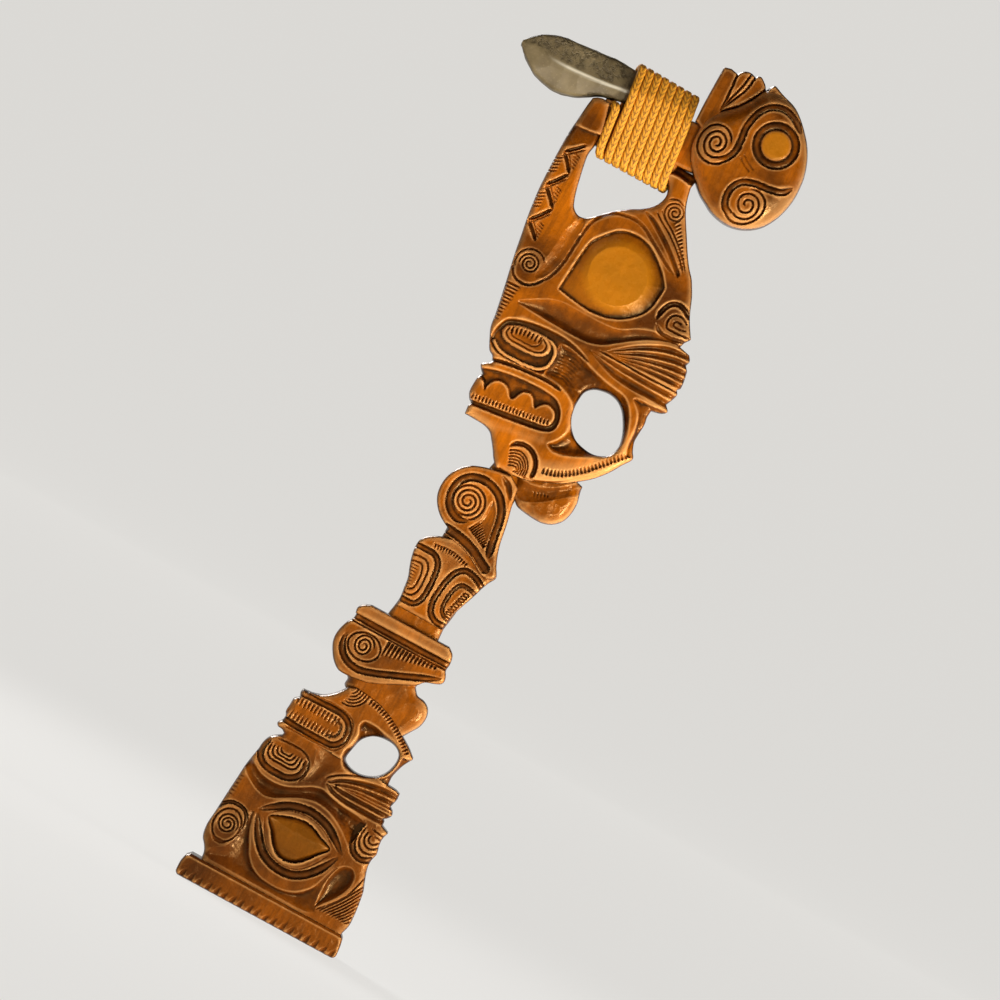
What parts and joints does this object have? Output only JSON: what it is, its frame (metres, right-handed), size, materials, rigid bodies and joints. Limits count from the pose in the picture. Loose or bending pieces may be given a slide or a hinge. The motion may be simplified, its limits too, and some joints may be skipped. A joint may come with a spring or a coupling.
{
  "type": "ceremonial stone adze",
  "caption": "Ceremonial adze: carved wooden haft with two profile heads, a ground stone blade and a cord lashing that holds the blade on its spar.",
  "frame": {"origin": "middle of the underside of the foot", "axes": "+Z along the haft from the foot to the knob, +X away from the cutting edge, the carved faces look to -Y and +Y"},
  "size_m": [0.1956, 0.06, 0.6074],
  "materials": {
    "carved_wood": "carved with gouges, dark oiled cuts and polished lands",
    "ground_stone": "ground grey stone, matt with pecked patches",
    "twisted_cord": "twisted plant-fibre cord, dry and matt"
  },
  "bodies": {
    "root": {"haft": "carved_wood", "stone_blade": "ground_stone", "lashing_cord": "twisted_cord"}
  },
  "joints": []
}
